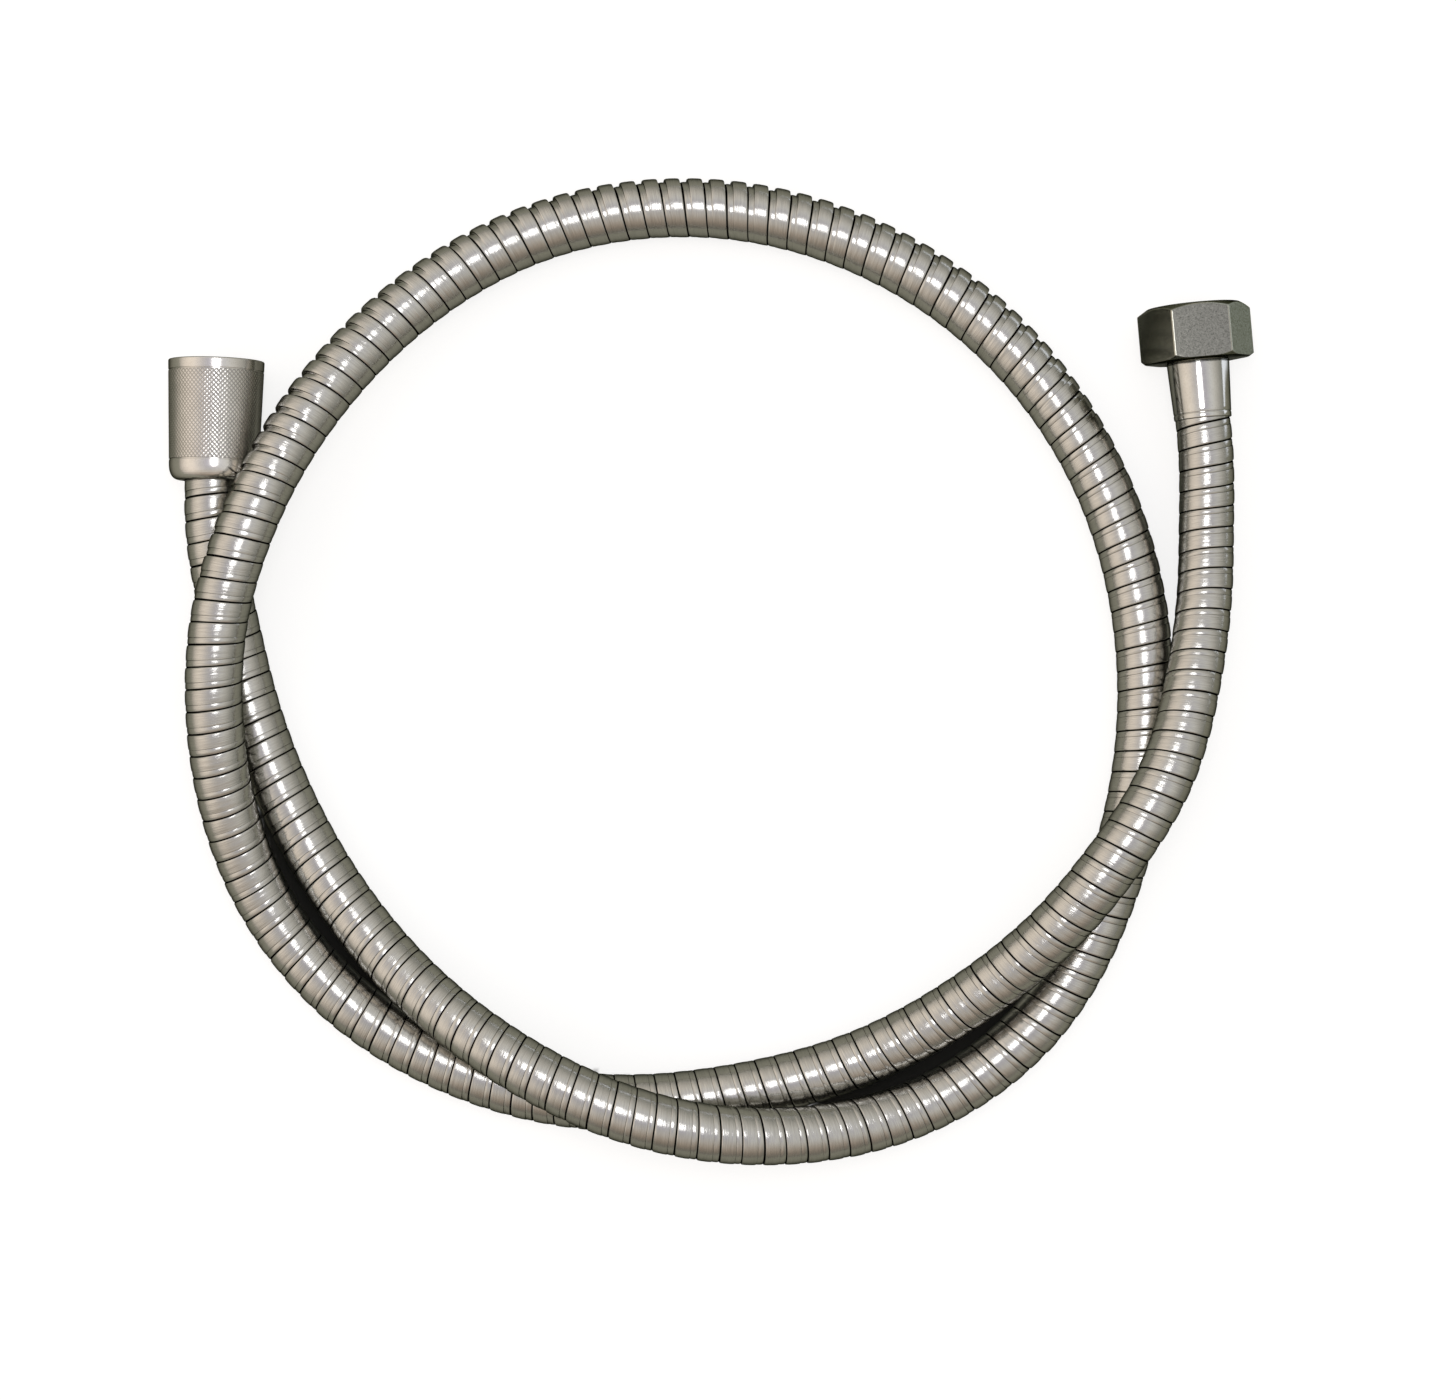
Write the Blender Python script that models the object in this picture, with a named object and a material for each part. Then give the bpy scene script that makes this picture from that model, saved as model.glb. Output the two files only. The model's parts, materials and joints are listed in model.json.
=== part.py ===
"""A strip-wound shower hose lying in a loose ring, with a hexagonal and a knurled union nut that spin on its ends.

Metres, +Z up, and the hose lies on the floor at z = 0. Every size that can be set by itself is named below.
"""

import math

import bmesh
import bpy
import numpy as np

# Clearances between pieces.
AIR = 0.0003
RUNNING_GAP = 0.0003
WASHER_CLEARANCE = 0.00025
FLANGE_CLEARANCE = 0.00045
HOSE_HOLE_CLEARANCE = 0.0004

# The hose, from the outside in: the casing, the sleeve's spigot in it, and the inner hose (the liner) in that.
HOSE_D = 0.0140
CASING_WALL = 0.0009
SPIGOT_WALL = 0.00035
LINER_D = HOSE_D - 2 * (CASING_WALL + AIR + SPIGOT_WALL + AIR)
LINER_WALL = 0.0014
LINER_BORE_D = LINER_D - 2 * LINER_WALL

# The G1/2 union thread, as its crest circle, and the seats behind it, which both nuts share.
THREAD_CREST_D = 0.0187
THREAD_DEPTH = 0.00113
THREAD_ROOT_D = THREAD_CREST_D + 2 * THREAD_DEPTH
THREAD_CHAMFER = 0.0002
SOCKET_DEPTH = 0.0103
BACK_WALL = 0.0030
WASHER_BORE_D = 0.0110
WASHER_THICKNESS = 0.0020

# The brass tails. The flange goes in past the thread, and the neck is the inner hose's stop.
FLANGE_D = THREAD_CREST_D - 2 * FLANGE_CLEARANCE
FLANGE_THICKNESS = 0.0014
NECK_STEP = 0.00105
NECK_D = LINER_D + 2 * NECK_STEP
NECK_SEAT_LENGTH = 0.0044
BARB_LENGTH = 0.0120
BARB_DEPTH = 0.0003
BARB_COUNT = 4
TAIL_WALL = 0.00045
WATERWAY_D = LINER_BORE_D - 2 * (AIR + BARB_DEPTH + TAIL_WALL)
TAIL_MOUTH_D = 0.0088
TAIL_MOUTH_DEPTH = 0.0012

# The sleeves that grip the casing, round the necks.
SLEEVE_LENGTH = 0.0137
SPIGOT_LENGTH = 0.0050
SLEEVE_WALL = 0.00045
KNURLED_SLEEVE_D = NECK_D + 2 * (RUNNING_GAP + SLEEVE_WALL)
HEX_SLEEVE_HOSE_END_D = NECK_D + 2 * (RUNNING_GAP + SLEEVE_WALL)
HEX_SLEEVE_FLARE = 0.00065
HEX_SLEEVE_NUT_END_D = HEX_SLEEVE_HOSE_END_D + 2 * HEX_SLEEVE_FLARE
SLEEVE_EDGE = 0.0002

# The hexagonal nut.
HEX_ACROSS_FLATS = 0.0240
HEX_FACE_RING = 0.00092
HEX_FACE_D = THREAD_ROOT_D + 2 * HEX_FACE_RING
HEX_CHAMFER_ANGLE = math.radians(32.0)

# The knurled nut.
KNURLED_MOUTH_WALL = 0.00117
KNURLED_MOUTH_D = THREAD_ROOT_D + 2 * KNURLED_MOUTH_WALL
KNURLED_WAIST_D = 0.0218
KNURLED_LENGTH = 0.0293
KNURLED_RIM_LENGTH = 0.0026
KNURLED_SHOULDER_LENGTH = 0.0045
KNURLED_END_RING = 0.0006
KNURLED_EDGE = 0.0004

# Where the middle of each mouth lies in plan, and how far its axis leans from +Y towards +X.
KNURLED_MOUTH_XY = (-0.1245, 0.0827)
KNURLED_LEAN = math.radians(1.5)
HEX_MOUTH_XY = (0.1131, 0.0955)
HEX_LEAN = math.radians(-5.0)

# The hose stays straight for this long where it leaves each fitting.
STRAIGHT_LEAD = 0.0055

# The route of the hose's middle after the knurled end, in millimetres, as it was read from the photograph.
# It passes over itself three times, in long low humps.
ROUTE_MM = (
    (-124.4, 33.0, 9.8),
    (-121.4, 17.0, 7.4),
    (-117.4, 0.5, 7.0),
    (-105.4, -30.1, 7.0),
    (-83.8, -61.6, 10.6),
    (-53.0, -86.4, 19.6),
    (-29.7, -97.9, 22.0),
    (-6.8, -104.1, 20.7),
    (21.9, -105.2, 14.3),
    (49.0, -98.4, 8.4),
    (76.0, -78.2, 7.0),
    (93.6, -45.6, 7.0),
    (101.1, -14.0, 7.0),
    (100.9, 18.5, 7.0),
    (92.6, 49.8, 7.0),
    (69.5, 85.2, 7.0),
    (33.0, 110.8, 7.0),
    (-9.0, 120.1, 7.0),
    (-50.0, 112.7, 7.6),
    (-79.9, 93.8, 12.0),
    (-99.0, 72.7, 17.6),
    (-109.4, 56.0, 21.2),
    (-117.0, 38.7, 23.3),
    (-122.2, 20.7, 22.8),
    (-124.0, -0.7, 20.6),
    (-122.0, -23.1, 15.4),
    (-113.2, -49.2, 8.6),
    (-95.1, -72.1, 7.0),
    (-67.8, -89.4, 7.0),
    (-34.3, -98.2, 7.0),
    (0.0, -96.3, 7.0),
    (33.1, -87.3, 7.8),
    (60.4, -71.6, 12.8),
    (79.2, -55.2, 18.8),
    (94.0, -36.9, 22.0),
    (105.0, -19.1, 21.2),
    (112.4, 4.8, 17.2),
    (115.8, 26.9, 12.8),
    (116.4, 43.0, 11.3),
)
TUBE_POINTS = 74
TUBE_SIDES = 16
TURNED_SIDES = 48

# Radii and places along a fitting's axis, counted from its mouth towards the hose, that follow from the sizes.
hose_r = HOSE_D / 2
casing_bore_r = hose_r - CASING_WALL
liner_r = LINER_D / 2
liner_bore_r = LINER_BORE_D / 2
socket_r = THREAD_CREST_D / 2
neck_r = NECK_D / 2
neck_hole_r = neck_r + RUNNING_GAP
flange_back = SOCKET_DEPTH - AIR
flange_front = flange_back - FLANGE_THICKNESS
washer_back = flange_front - AIR
washer_front = washer_back - WASHER_THICKNESS
nut_back = SOCKET_DEPTH + BACK_WALL
sleeve_start = nut_back + AIR
neck_end = sleeve_start + NECK_SEAT_LENGTH
liner_start = neck_end + AIR
sleeve_end = sleeve_start + SLEEVE_LENGTH
casing_start = sleeve_end + AIR
sleeve_bore_r = liner_r + AIR
spigot_r = casing_bore_r - AIR


def remove_everything():
    """Removes every object that the scene starts with."""
    for o in list(bpy.data.objects):
        bpy.data.objects.remove(o, do_unlink=True)


def make_material(name, colour, metallic, roughness):
    """A plain Principled material."""
    m = bpy.data.materials.new(name)
    m.use_nodes = True
    shader = m.node_tree.nodes["Principled BSDF"]
    shader.inputs["Base Color"].default_value = (*colour, 1.0)
    shader.inputs["Metallic"].default_value = metallic
    shader.inputs["Roughness"].default_value = roughness
    return m


def add_object(name, points, faces, material):
    """One closed mesh object at the origin, with its faces turned outward."""
    mesh = bpy.data.meshes.new(name)
    mesh.from_pydata([tuple(p) for p in points], [], faces)
    b = bmesh.new()
    b.from_mesh(mesh)
    bmesh.ops.recalc_face_normals(b, faces=b.faces[:])
    b.to_mesh(mesh)
    b.free()
    mesh.materials.append(material)
    o = bpy.data.objects.new(name, mesh)
    bpy.context.scene.collection.objects.link(o)
    return o


def fitting_frame(mouth_xy, lean, height):
    """A fitting's mouth, the direction towards the hose, and the two directions across its level axis."""
    mouth = np.array([mouth_xy[0], mouth_xy[1], height])
    inward = -np.array([math.sin(lean), math.cos(lean), 0.0])
    across = np.array([math.cos(lean), -math.sin(lean), 0.0])
    up = np.array([0.0, 0.0, 1.0])
    return mouth, inward, across, up


def turned(name, profile, frame, material):
    """A ring-shaped solid: a closed outline of (place along the axis, radius) points turned about a fitting's axis."""
    mouth, inward, across, up = frame
    angles = np.arange(TURNED_SIDES) * (2 * math.pi / TURNED_SIDES)
    outline = np.array(profile)
    spokes = np.cos(angles)[:, None] * across + np.sin(angles)[:, None] * up
    points = mouth + outline[:, 0, None, None] * inward + outline[:, 1, None, None] * spokes[None]
    count = len(outline)
    faces = []
    for i in range(count):
        j = (i + 1) % count
        for k in range(TURNED_SIDES):
            n = (k + 1) % TURNED_SIDES
            faces.append((i * TURNED_SIDES + k, i * TURNED_SIDES + n, j * TURNED_SIDES + n, j * TURNED_SIDES + k))
    return add_object(name, points.reshape(-1, 3), faces, material)


def socket_outline(back):
    """The inside of a nut from its back to its mouth: the hole for the tail's neck, the socket and its chamfer."""
    mouth_chamfer = THREAD_ROOT_D / 2 + THREAD_CHAMFER - socket_r
    return [
        (back, neck_hole_r),
        (SOCKET_DEPTH, neck_hole_r),
        (SOCKET_DEPTH, socket_r),
        (mouth_chamfer, socket_r),
        (0.0, socket_r + mouth_chamfer),
    ]


def make_hex_nut(frame, material):
    """A hexagonal bar, kept only inside a turned blank that has the chamfers, the hole and the socket."""
    mouth, inward, across, up = frame
    corner_r = HEX_ACROSS_FLATS / 2 / math.cos(math.pi / 6)
    angles = np.arange(6) * (math.pi / 3)
    spokes = np.cos(angles)[:, None] * across + np.sin(angles)[:, None] * up
    over = 0.001
    ends = [mouth + t * inward + corner_r * spokes for t in (-over, nut_back + over)]
    faces = [tuple(range(6)), tuple(range(11, 5, -1))]
    faces += [(k, k + 6, (k + 1) % 6 + 6, (k + 1) % 6) for k in range(6)]
    bar = add_object("hex_nut", np.concatenate(ends), faces, material)
    blank_r = corner_r + over
    face_r = HEX_FACE_D / 2
    slope = (blank_r - face_r) * math.tan(HEX_CHAMFER_ANGLE)
    outside = [(0.0, face_r), (slope, blank_r), (nut_back - slope, blank_r), (nut_back, face_r)]
    blank = turned("hex_nut_blank", outside + socket_outline(nut_back), frame, material)
    blank.hide_render = True
    blank.display_type = "WIRE"
    keep = bar.modifiers.new("turned blank", "BOOLEAN")
    keep.operation = "INTERSECT"
    keep.solver = "EXACT"
    keep.object = blank
    return bar


def make_knurled_nut(frame, material):
    """The long round nut: a rim, a gentle taper that carries the knurl, and a rounded shoulder round the hose."""
    mouth_r = KNURLED_MOUTH_D / 2
    waist_r = KNURLED_WAIST_D / 2
    shoulder = KNURLED_LENGTH - KNURLED_SHOULDER_LENGTH
    rim_r = mouth_r - (mouth_r - waist_r) * KNURLED_RIM_LENGTH / shoulder
    outside = [(0.0, mouth_r - KNURLED_EDGE), (KNURLED_EDGE, mouth_r), (KNURLED_RIM_LENGTH, rim_r)]
    hole_r = max(hose_r, KNURLED_SLEEVE_D / 2) + HOSE_HOLE_CLEARANCE
    shoulder_depth = waist_r - hole_r - KNURLED_END_RING
    for step in range(9):
        a = step / 8 * math.pi / 2
        t = shoulder + KNURLED_SHOULDER_LENGTH * math.sin(a)
        outside.append((t, waist_r - shoulder_depth * (1 - math.cos(a))))
    inside = [(KNURLED_LENGTH, hole_r), (nut_back, hole_r)]
    return turned("knurled_nut", outside + inside + socket_outline(nut_back), frame, material)


def make_washer(name, frame, material):
    """The flat washer that lies on the tail's flange."""
    r = socket_r - WASHER_CLEARANCE
    bore_r = WASHER_BORE_D / 2
    return turned(name, [(washer_front, bore_r), (washer_front, r), (washer_back, r), (washer_back, bore_r)],
                  frame, material)


def make_tail(name, frame, material):
    """The brass insert: a flange in the nut, a neck through its back wall, and barbs in the inner hose."""
    barb_r = liner_bore_r - AIR
    root_r = barb_r - BARB_DEPTH
    water_r = WATERWAY_D / 2
    outline = [(flange_front, FLANGE_D / 2), (flange_back, FLANGE_D / 2), (flange_back, neck_r), (neck_end, neck_r)]
    pitch = BARB_LENGTH / BARB_COUNT
    for k in range(BARB_COUNT):
        outline += [(neck_end + k * pitch, root_r), (neck_end + (k + 0.25) * pitch, barb_r)]
    outline += [(neck_end + BARB_LENGTH, root_r), (neck_end + BARB_LENGTH, water_r)]
    outline += [(flange_front + TAIL_MOUTH_DEPTH, water_r), (flange_front, TAIL_MOUTH_D / 2)]
    return turned(name, outline, frame, material)


def make_sleeve(name, frame, nut_end_d, hose_end_d, material):
    """The sleeve: it sits on the tail's neck, lets the inner hose through, and has a thin spigot in the casing."""
    seat_r = neck_r + RUNNING_GAP
    outline = [
        (sleeve_start, nut_end_d / 2 - SLEEVE_EDGE),
        (sleeve_start + SLEEVE_EDGE, nut_end_d / 2),
        (sleeve_end - SLEEVE_EDGE, hose_end_d / 2),
        (sleeve_end, hose_end_d / 2 - SLEEVE_EDGE),
        (sleeve_end, spigot_r),
        (sleeve_end + SPIGOT_LENGTH, spigot_r),
        (sleeve_end + SPIGOT_LENGTH, sleeve_bore_r),
        (liner_start, sleeve_bore_r),
        (liner_start, seat_r),
        (sleeve_start, seat_r),
    ]
    return turned(name, outline, frame, material)


def smooth_curve(points, first, last, count):
    """Evenly spaced points on the cubic spline through the points, which leaves and arrives in the two directions.

    Each stretch between two points is a cubic in the distance along the chords. Slope and curvature match where
    two stretches meet, which is a row of linear equations for the slopes at the points.
    """
    p = np.array(points)
    h = np.linalg.norm(np.diff(p, axis=0), axis=1)
    n = len(p)
    rows = np.zeros((n, n))
    right = np.zeros((n, 3))
    rows[0, 0] = 1.0
    rows[-1, -1] = 1.0
    right[0] = first
    right[-1] = last
    for i in range(1, n - 1):
        rows[i, i - 1 : i + 2] = (1 / h[i - 1], 2 / h[i - 1] + 2 / h[i], 1 / h[i])
        right[i] = 3 * ((p[i] - p[i - 1]) / h[i - 1] ** 2 + (p[i + 1] - p[i]) / h[i] ** 2)
    slope = np.linalg.solve(rows, right)
    u = np.linspace(0, 1, 60, endpoint=False)[:, None]
    parts = []
    for i in range(n - 1):
        parts.append(
            (2 * u**3 - 3 * u**2 + 1) * p[i]
            + (u**3 - 2 * u**2 + u) * h[i] * slope[i]
            + (3 * u**2 - 2 * u**3) * p[i + 1]
            + (u**3 - u**2) * h[i] * slope[i + 1]
        )
    fine = np.concatenate([*parts, p[-1:]])
    along = np.concatenate([[0], np.cumsum(np.linalg.norm(np.diff(fine, axis=0), axis=1))])
    at = np.linspace(0, along[-1], count)
    return np.stack([np.interp(at, along, fine[:, k]) for k in range(3)], axis=1)


def swept_tube(name, line, outer_r, bore_r, material):
    """A hollow tube along a line of points, closed at both ends by flat rings.

    The directions across the tube start level and upright, and each next pair is the last one with what it has
    of the new direction taken out, so that the tube doesn't twist.
    """
    way = np.gradient(line, axis=0)
    way[0] = line[1] - line[0]
    way[-1] = line[-1] - line[-2]
    way /= np.linalg.norm(way, axis=1)[:, None]
    up = np.array([0.0, 0.0, 1.0])
    rings = []
    angles = np.arange(TUBE_SIDES) * (2 * math.pi / TUBE_SIDES)
    for p, t in zip(line, way):
        up = up - t * (up @ t)
        up /= np.linalg.norm(up)
        spokes = np.cos(angles)[:, None] * np.cross(t, up) + np.sin(angles)[:, None] * up
        rings.append(np.concatenate([p + outer_r * spokes, p + bore_r * spokes]))
    n = TUBE_SIDES
    faces = []
    for i in range(len(line) - 1):
        a, b = 2 * n * i, 2 * n * (i + 1)
        for k in range(n):
            m = (k + 1) % n
            faces.append((a + k, a + m, b + m, b + k))
            faces.append((a + n + k, b + n + k, b + n + m, a + n + m))
    last = 2 * n * (len(line) - 1)
    for k in range(n):
        m = (k + 1) % n
        faces.append((k, n + k, n + m, m))
        faces.append((last + k, last + m, last + n + m, last + n + k))
    return add_object(name, np.concatenate(rings), faces, material)


remove_everything()

chrome = make_material("chrome", (0.72, 0.70, 0.66), 1.0, 0.15)
satin = make_material("satin_nickel", (0.45, 0.45, 0.42), 1.0, 0.35)
strip = make_material("casing_strip", (0.66, 0.64, 0.59), 1.0, 0.2)
brass = make_material("brass", (0.72, 0.52, 0.24), 1.0, 0.3)
rubber = make_material("washer_rubber", (0.04, 0.04, 0.04), 0.0, 0.7)
liner = make_material("liner_rubber", (0.06, 0.06, 0.065), 0.0, 0.6)

# The two fittings.
hex_frame = fitting_frame(HEX_MOUTH_XY, HEX_LEAN, HEX_ACROSS_FLATS / 2)
knurled_frame = fitting_frame(KNURLED_MOUTH_XY, KNURLED_LEAN, KNURLED_MOUTH_D / 2)
fittings = [
    make_hex_nut(hex_frame, satin),
    make_knurled_nut(knurled_frame, chrome),
    make_washer("hex_washer", hex_frame, rubber),
    make_washer("knurled_washer", knurled_frame, rubber),
    make_tail("hex_tail", hex_frame, brass),
    make_tail("knurled_tail", knurled_frame, brass),
    make_sleeve("hex_sleeve", hex_frame, HEX_SLEEVE_NUT_END_D, HEX_SLEEVE_HOSE_END_D, chrome),
    make_sleeve("knurled_sleeve", knurled_frame, KNURLED_SLEEVE_D, KNURLED_SLEEVE_D, chrome),
]

# The hose: straight out of each sleeve, and one smooth curve between.
knurled_lead = knurled_frame[0] + (casing_start + STRAIGHT_LEAD) * knurled_frame[1]
hex_lead = hex_frame[0] + (casing_start + STRAIGHT_LEAD) * hex_frame[1]
route = [knurled_lead, *(np.array(p) / 1000 for p in ROUTE_MM), hex_lead]
curve = smooth_curve(route, knurled_frame[1], -hex_frame[1], TUBE_POINTS)
curve[:, 2] = np.maximum(curve[:, 2], hose_r)


def with_leads(start):
    """The whole line of the casing or the inner hose, from one fitting's place on the axis to the other's."""
    return np.concatenate([[knurled_frame[0] + start * knurled_frame[1]], curve,
                           [hex_frame[0] + start * hex_frame[1]]])


hoses = [
    swept_tube("outer_hose", with_leads(casing_start), hose_r, casing_bore_r, strip),
    swept_tube("inner_hose", with_leads(liner_start), liner_r, liner_bore_r, liner),
]

# The origin goes to the middle of the fittings' footprint on the floor.
bpy.context.view_layer.update()
graph = bpy.context.evaluated_depsgraph_get()
corners = np.array([tuple(c) for o in fittings for c in o.evaluated_get(graph).bound_box])
shift = -(corners.min(axis=0) + corners.max(axis=0)) / 2
shift[2] = 0.0
for o in bpy.data.objects:
    points = np.empty(len(o.data.vertices) * 3)
    o.data.vertices.foreach_get("co", points)
    o.data.vertices.foreach_set("co", (points.reshape(-1, 3) + shift).ravel())
    o.data.update()
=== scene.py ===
# %% [markdown]
# # A strip-wound metal shower hose
# The object is a shower hose in a loose ring. Its casing is one long metal strip, rolled to a shallow step and
# wound into a helix whose turns hook into each other. Two union nuts spin on its ends: a hexagonal one for the
# valve and a knurled one for the hand shower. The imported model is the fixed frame, and everything below is
# worked out in its metres and at its places.

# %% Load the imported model
import json
import math

import bmesh
import bpy
import numpy as np
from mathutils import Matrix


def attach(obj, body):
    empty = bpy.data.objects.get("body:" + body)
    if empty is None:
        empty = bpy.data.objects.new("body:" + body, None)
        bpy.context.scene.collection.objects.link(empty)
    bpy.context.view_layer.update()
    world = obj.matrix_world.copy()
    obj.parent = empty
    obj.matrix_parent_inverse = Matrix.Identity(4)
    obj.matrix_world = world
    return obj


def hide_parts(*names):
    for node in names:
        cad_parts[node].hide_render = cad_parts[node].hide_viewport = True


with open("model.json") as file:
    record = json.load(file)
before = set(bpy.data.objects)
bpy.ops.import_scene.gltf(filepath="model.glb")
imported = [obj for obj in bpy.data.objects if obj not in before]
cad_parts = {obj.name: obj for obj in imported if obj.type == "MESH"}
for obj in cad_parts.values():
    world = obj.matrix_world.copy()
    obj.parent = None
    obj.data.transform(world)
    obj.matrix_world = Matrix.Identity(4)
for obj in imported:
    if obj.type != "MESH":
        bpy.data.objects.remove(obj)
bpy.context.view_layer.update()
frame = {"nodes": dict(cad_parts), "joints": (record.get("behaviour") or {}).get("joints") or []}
joints = {j["name"]: j for j in frame["joints"]}
print("nodes:", sorted(frame["nodes"]))

# %% [markdown]
# ## The camera
# The photograph looks straight down on the ring from a little under a metre, with a long lens: both nuts show
# their sides and neither shows its mouth. A camera that isn't turned at all looks straight down with +Y up.

# %% The camera
CAMERA_PLACE = (0.00395, -0.07348, 0.900)
CAMERA_ROLL = -0.0017
PHOTO_WIDTH_PX = 1456
FOCAL_PX = 3650
SENSOR_MM = 36.0

lens = bpy.data.cameras.new("camera")
lens.sensor_width = SENSOR_MM
lens.lens = FOCAL_PX / PHOTO_WIDTH_PX * SENSOR_MM
camera = bpy.data.objects.new("camera", lens)
camera.location = CAMERA_PLACE
camera.rotation_euler = (0.0, 0.0, CAMERA_ROLL)
bpy.context.scene.view_settings.view_transform = "Standard"
bpy.context.scene.collection.objects.link(camera)
bpy.context.scene.camera = camera
print("lens:", round(lens.lens, 1), "mm")

# %% [markdown]
# ## Where the fittings point
# Each nut turns on its hinge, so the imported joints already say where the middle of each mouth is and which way
# it faces. A fitting's own frame is that point, the way in towards the hose, and two directions across.

# %% The fittings' frames
UP = np.array([0.0, 0.0, 1.0])


def fitting_frame(joint_name):
    """A fitting's mouth and its directions inward, across and up. Across times up, as a cross product, is inward."""
    mouth = np.array(joints[joint_name]["pos_m"])
    inward = -np.array(joints[joint_name]["axis"])
    inward /= np.linalg.norm(inward)
    return mouth, inward, np.cross(UP, inward), UP


hex_frame = fitting_frame("hex_nut_spin")
knurled_frame = fitting_frame("knurled_nut_spin")
print("mouths:", hex_frame[0], knurled_frame[0])

# %% [markdown]
# ## The way the hose lies
# The route was read from the photograph as points along the middle of the hose, and the heights make it pass
# over itself in three long low humps. A smooth cubic through the points gives a hose that bends like a hose.
# The route's points are the CAD source's own, so the looks lie exactly where the solids lie.

# %% The route and its smooth curve
ROUTE = np.array([
    (-0.1244, 0.0330, 0.0098), (-0.1214, 0.0170, 0.0074), (-0.1174, 0.0005, 0.0070),
    (-0.1054, -0.0301, 0.0070), (-0.0838, -0.0616, 0.0106), (-0.0530, -0.0864, 0.0196),
    (-0.0297, -0.0979, 0.0220), (-0.0068, -0.1041, 0.0207), (0.0219, -0.1052, 0.0143),
    (0.0490, -0.0984, 0.0084), (0.0760, -0.0782, 0.0070), (0.0936, -0.0456, 0.0070),
    (0.1011, -0.0140, 0.0070), (0.1009, 0.0185, 0.0070), (0.0926, 0.0498, 0.0070),
    (0.0695, 0.0852, 0.0070), (0.0330, 0.1108, 0.0070), (-0.0090, 0.1201, 0.0070),
    (-0.0500, 0.1127, 0.0076), (-0.0799, 0.0938, 0.0120), (-0.0990, 0.0727, 0.0176),
    (-0.1094, 0.0560, 0.0212), (-0.1170, 0.0387, 0.0233), (-0.1222, 0.0207, 0.0228),
    (-0.1240, -0.0007, 0.0206), (-0.1220, -0.0231, 0.0154), (-0.1132, -0.0492, 0.0086),
    (-0.0951, -0.0721, 0.0070), (-0.0678, -0.0894, 0.0070), (-0.0343, -0.0982, 0.0070),
    (0.0000, -0.0963, 0.0070), (0.0331, -0.0873, 0.0078), (0.0604, -0.0716, 0.0128),
    (0.0792, -0.0552, 0.0188), (0.0940, -0.0369, 0.0220), (0.1050, -0.0191, 0.0212),
    (0.1124, 0.0048, 0.0172), (0.1158, 0.0269, 0.0128), (0.1164, 0.0430, 0.0113),
])
KNURLED_MOUTH_IN_PHOTO = np.array([-0.1245, 0.0827, 0.0])
HOSE_R = 0.0070
CASING_BORE_R = 0.0061
CASING_START = 0.0276
STRAIGHT_LEAD = 0.0055
SPARE_END = 0.0150
STEPS_A_STRETCH = 80


def smooth_curve(points, first, last, steps):
    """A cubic spline through the points: slopes and curvatures match where two stretches meet, which is one row of
    linear equations a point, and the two end slopes are given."""
    h = np.linalg.norm(np.diff(points, axis=0), axis=1)
    count = len(points)
    inner = np.arange(1, count - 1)
    rows = np.eye(count)
    rows[inner, inner - 1] = 1 / h[:-1]
    rows[inner, inner] = 2 / h[:-1] + 2 / h[1:]
    rows[inner, inner + 1] = 1 / h[1:]
    chord = np.diff(points, axis=0) / (h**2)[:, None]
    right = np.vstack([first, 3 * (chord[:-1] + chord[1:]), last])
    slope = np.linalg.solve(rows, right)
    u = np.linspace(0, 1, steps, endpoint=False)[None, :, None]
    a, b = points[:-1, None], points[1:, None]
    da, db = (h[:, None] * slope[:-1])[:, None], (h[:, None] * slope[1:])[:, None]
    cubic = (2 * u**3 - 3 * u**2 + 1) * a + (u**3 - 2 * u**2 + u) * da
    cubic = cubic + (3 * u**2 - 2 * u**3) * b + (u**3 - u**2) * db
    return np.vstack([cubic.reshape(-1, 3), points[-1:]])


shift = knurled_frame[0] * (1, 1, 0) - KNURLED_MOUTH_IN_PHOTO
lead = CASING_START + STRAIGHT_LEAD
knurled_lead = knurled_frame[0] + lead * knurled_frame[1]
hex_lead = hex_frame[0] + lead * hex_frame[1]
stations = np.vstack([knurled_lead, ROUTE + shift, hex_lead])
curve = smooth_curve(stations, knurled_frame[1], -hex_frame[1], STEPS_A_STRETCH)
curve[:, 2] = np.maximum(curve[:, 2], HOSE_R)
hose_start = knurled_frame[0] + CASING_START * knurled_frame[1]
hose_end = hex_frame[0] + CASING_START * hex_frame[1]
line = np.vstack([hose_start - SPARE_END * knurled_frame[1], curve, hose_end - SPARE_END * hex_frame[1]])
print("points on the fine line:", len(line))

# %% [markdown]
# ## Walking along the line
# To wind a strip round a curve, we need the place and the direction at any distance along it. The hose never
# stands up, so "up" can serve as one direction across everywhere, which keeps the tube from twisting.

# %% Places and directions along the line
STEP = 0.0005


def smoothed(table, times):
    """The table with each inner row mixed with its neighbours, half its own and a quarter of each, that many times."""
    table = table.copy()
    for _ in range(times):
        table[1:-1] = (table[:-2] + 2 * table[1:-1] + table[2:]) / 4
    return table


distance = np.concatenate([[0], np.cumsum(np.linalg.norm(np.diff(line, axis=0), axis=1))])
total = distance[-1]
ruler = np.linspace(0, total, int(total / STEP) + 1)
middle = np.stack([np.interp(ruler, distance, line[:, k]) for k in range(3)], axis=1)
ahead = smoothed(np.gradient(middle, axis=0), 3)
ahead /= np.linalg.norm(ahead, axis=1)[:, None]
aside = np.cross(ahead, UP)
aside /= np.linalg.norm(aside, axis=1)[:, None]
above = np.cross(aside, ahead)
casing_length = total - 2 * SPARE_END


def along(table, s):
    """The table's row at the distance s from the casing's start, read between its two nearest rows."""
    return np.stack([np.interp(s + SPARE_END, ruler, table[:, k]) for k in range(3)], axis=-1)


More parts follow.
